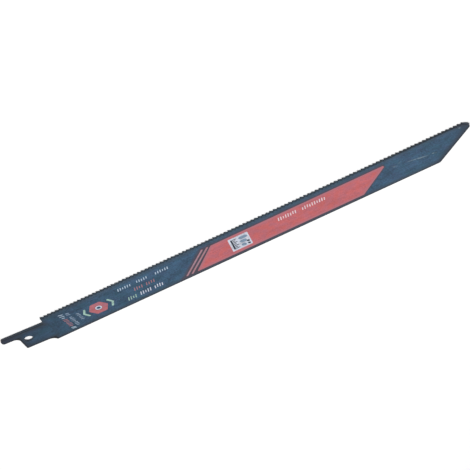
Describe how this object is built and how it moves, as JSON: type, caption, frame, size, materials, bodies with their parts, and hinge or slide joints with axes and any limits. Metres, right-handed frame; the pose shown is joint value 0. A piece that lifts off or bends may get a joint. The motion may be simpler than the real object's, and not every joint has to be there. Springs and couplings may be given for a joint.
{
  "type": "reciprocating saw blade",
  "caption": "Long straight saw blade, fine teeth with alternate set, sloping nose, and a narrow, slightly canted shank with a pin hole and a tang.",
  "frame": {"origin": "centre of the pin hole, in the middle plane of the strip", "axes": "+X along the blade from the tang to the nose, +Y across it towards the teeth, +Z out of the printed face"},
  "size_m": [0.2252, 0.019, 0.0012],
  "materials": {
    "painted_steel": "satin dark blue paint over a steel strip, rubbed thin at the edges",
    "red_print": "satin red ink",
    "white_print": "satin pale ink",
    "green_print": "satin green ink"
  },
  "bodies": {
    "root": {"blade": "painted_steel"}
  },
  "joints": []
}
